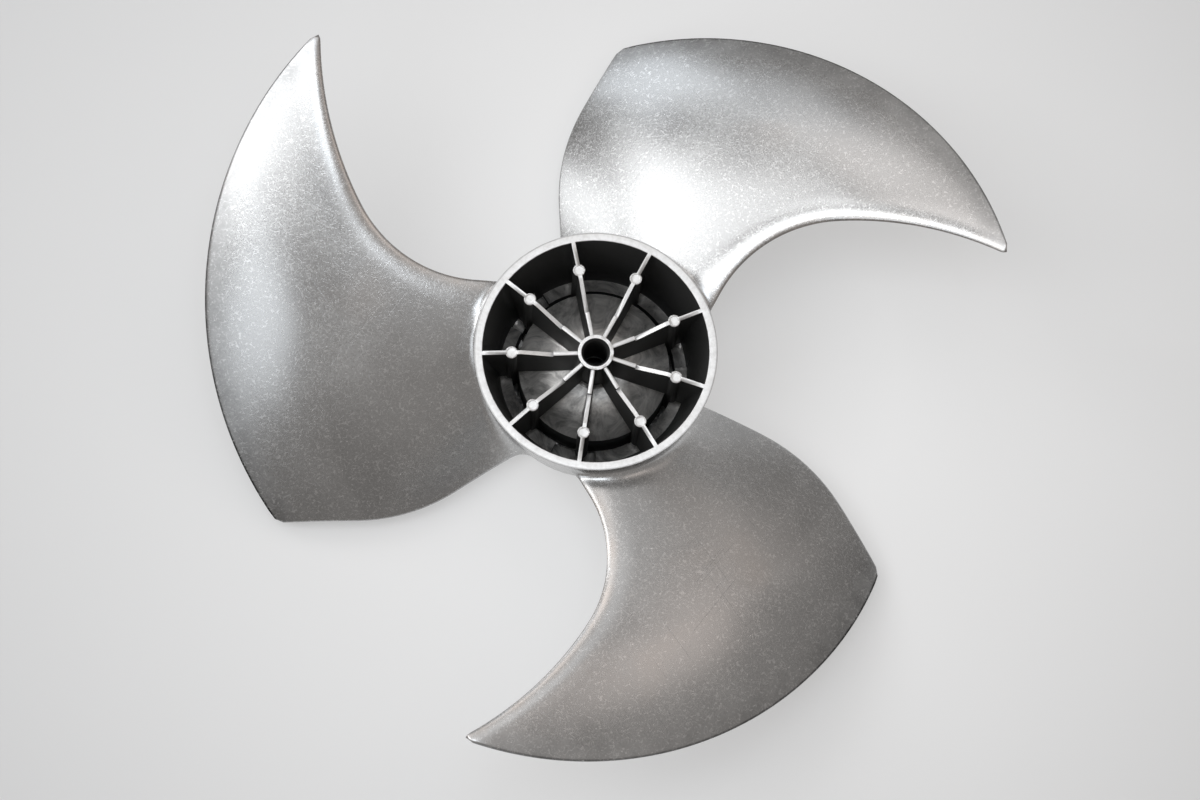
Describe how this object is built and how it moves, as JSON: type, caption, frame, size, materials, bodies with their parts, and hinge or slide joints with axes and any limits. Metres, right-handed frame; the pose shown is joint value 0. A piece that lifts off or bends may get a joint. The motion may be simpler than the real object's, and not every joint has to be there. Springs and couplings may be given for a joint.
{
  "type": "axial fan impeller",
  "caption": "Cast aluminium axial fan impeller with sickle blades on a tapered, ribbed hub cup with a central shaft bore.",
  "frame": {"origin": "on the shaft axis, where the bore leaves the underside of the hub floor", "axes": "+Z along the bore to the hub's open, ribbed side; +X and +Y are to the right and up as the picture shows the open side"},
  "size_m": [0.401, 0.3869, 0.1048],
  "materials": {
    "cast_aluminium": "satin cast and bead blasted"
  },
  "bodies": {
    "root": {"impeller": "cast_aluminium"}
  },
  "joints": []
}
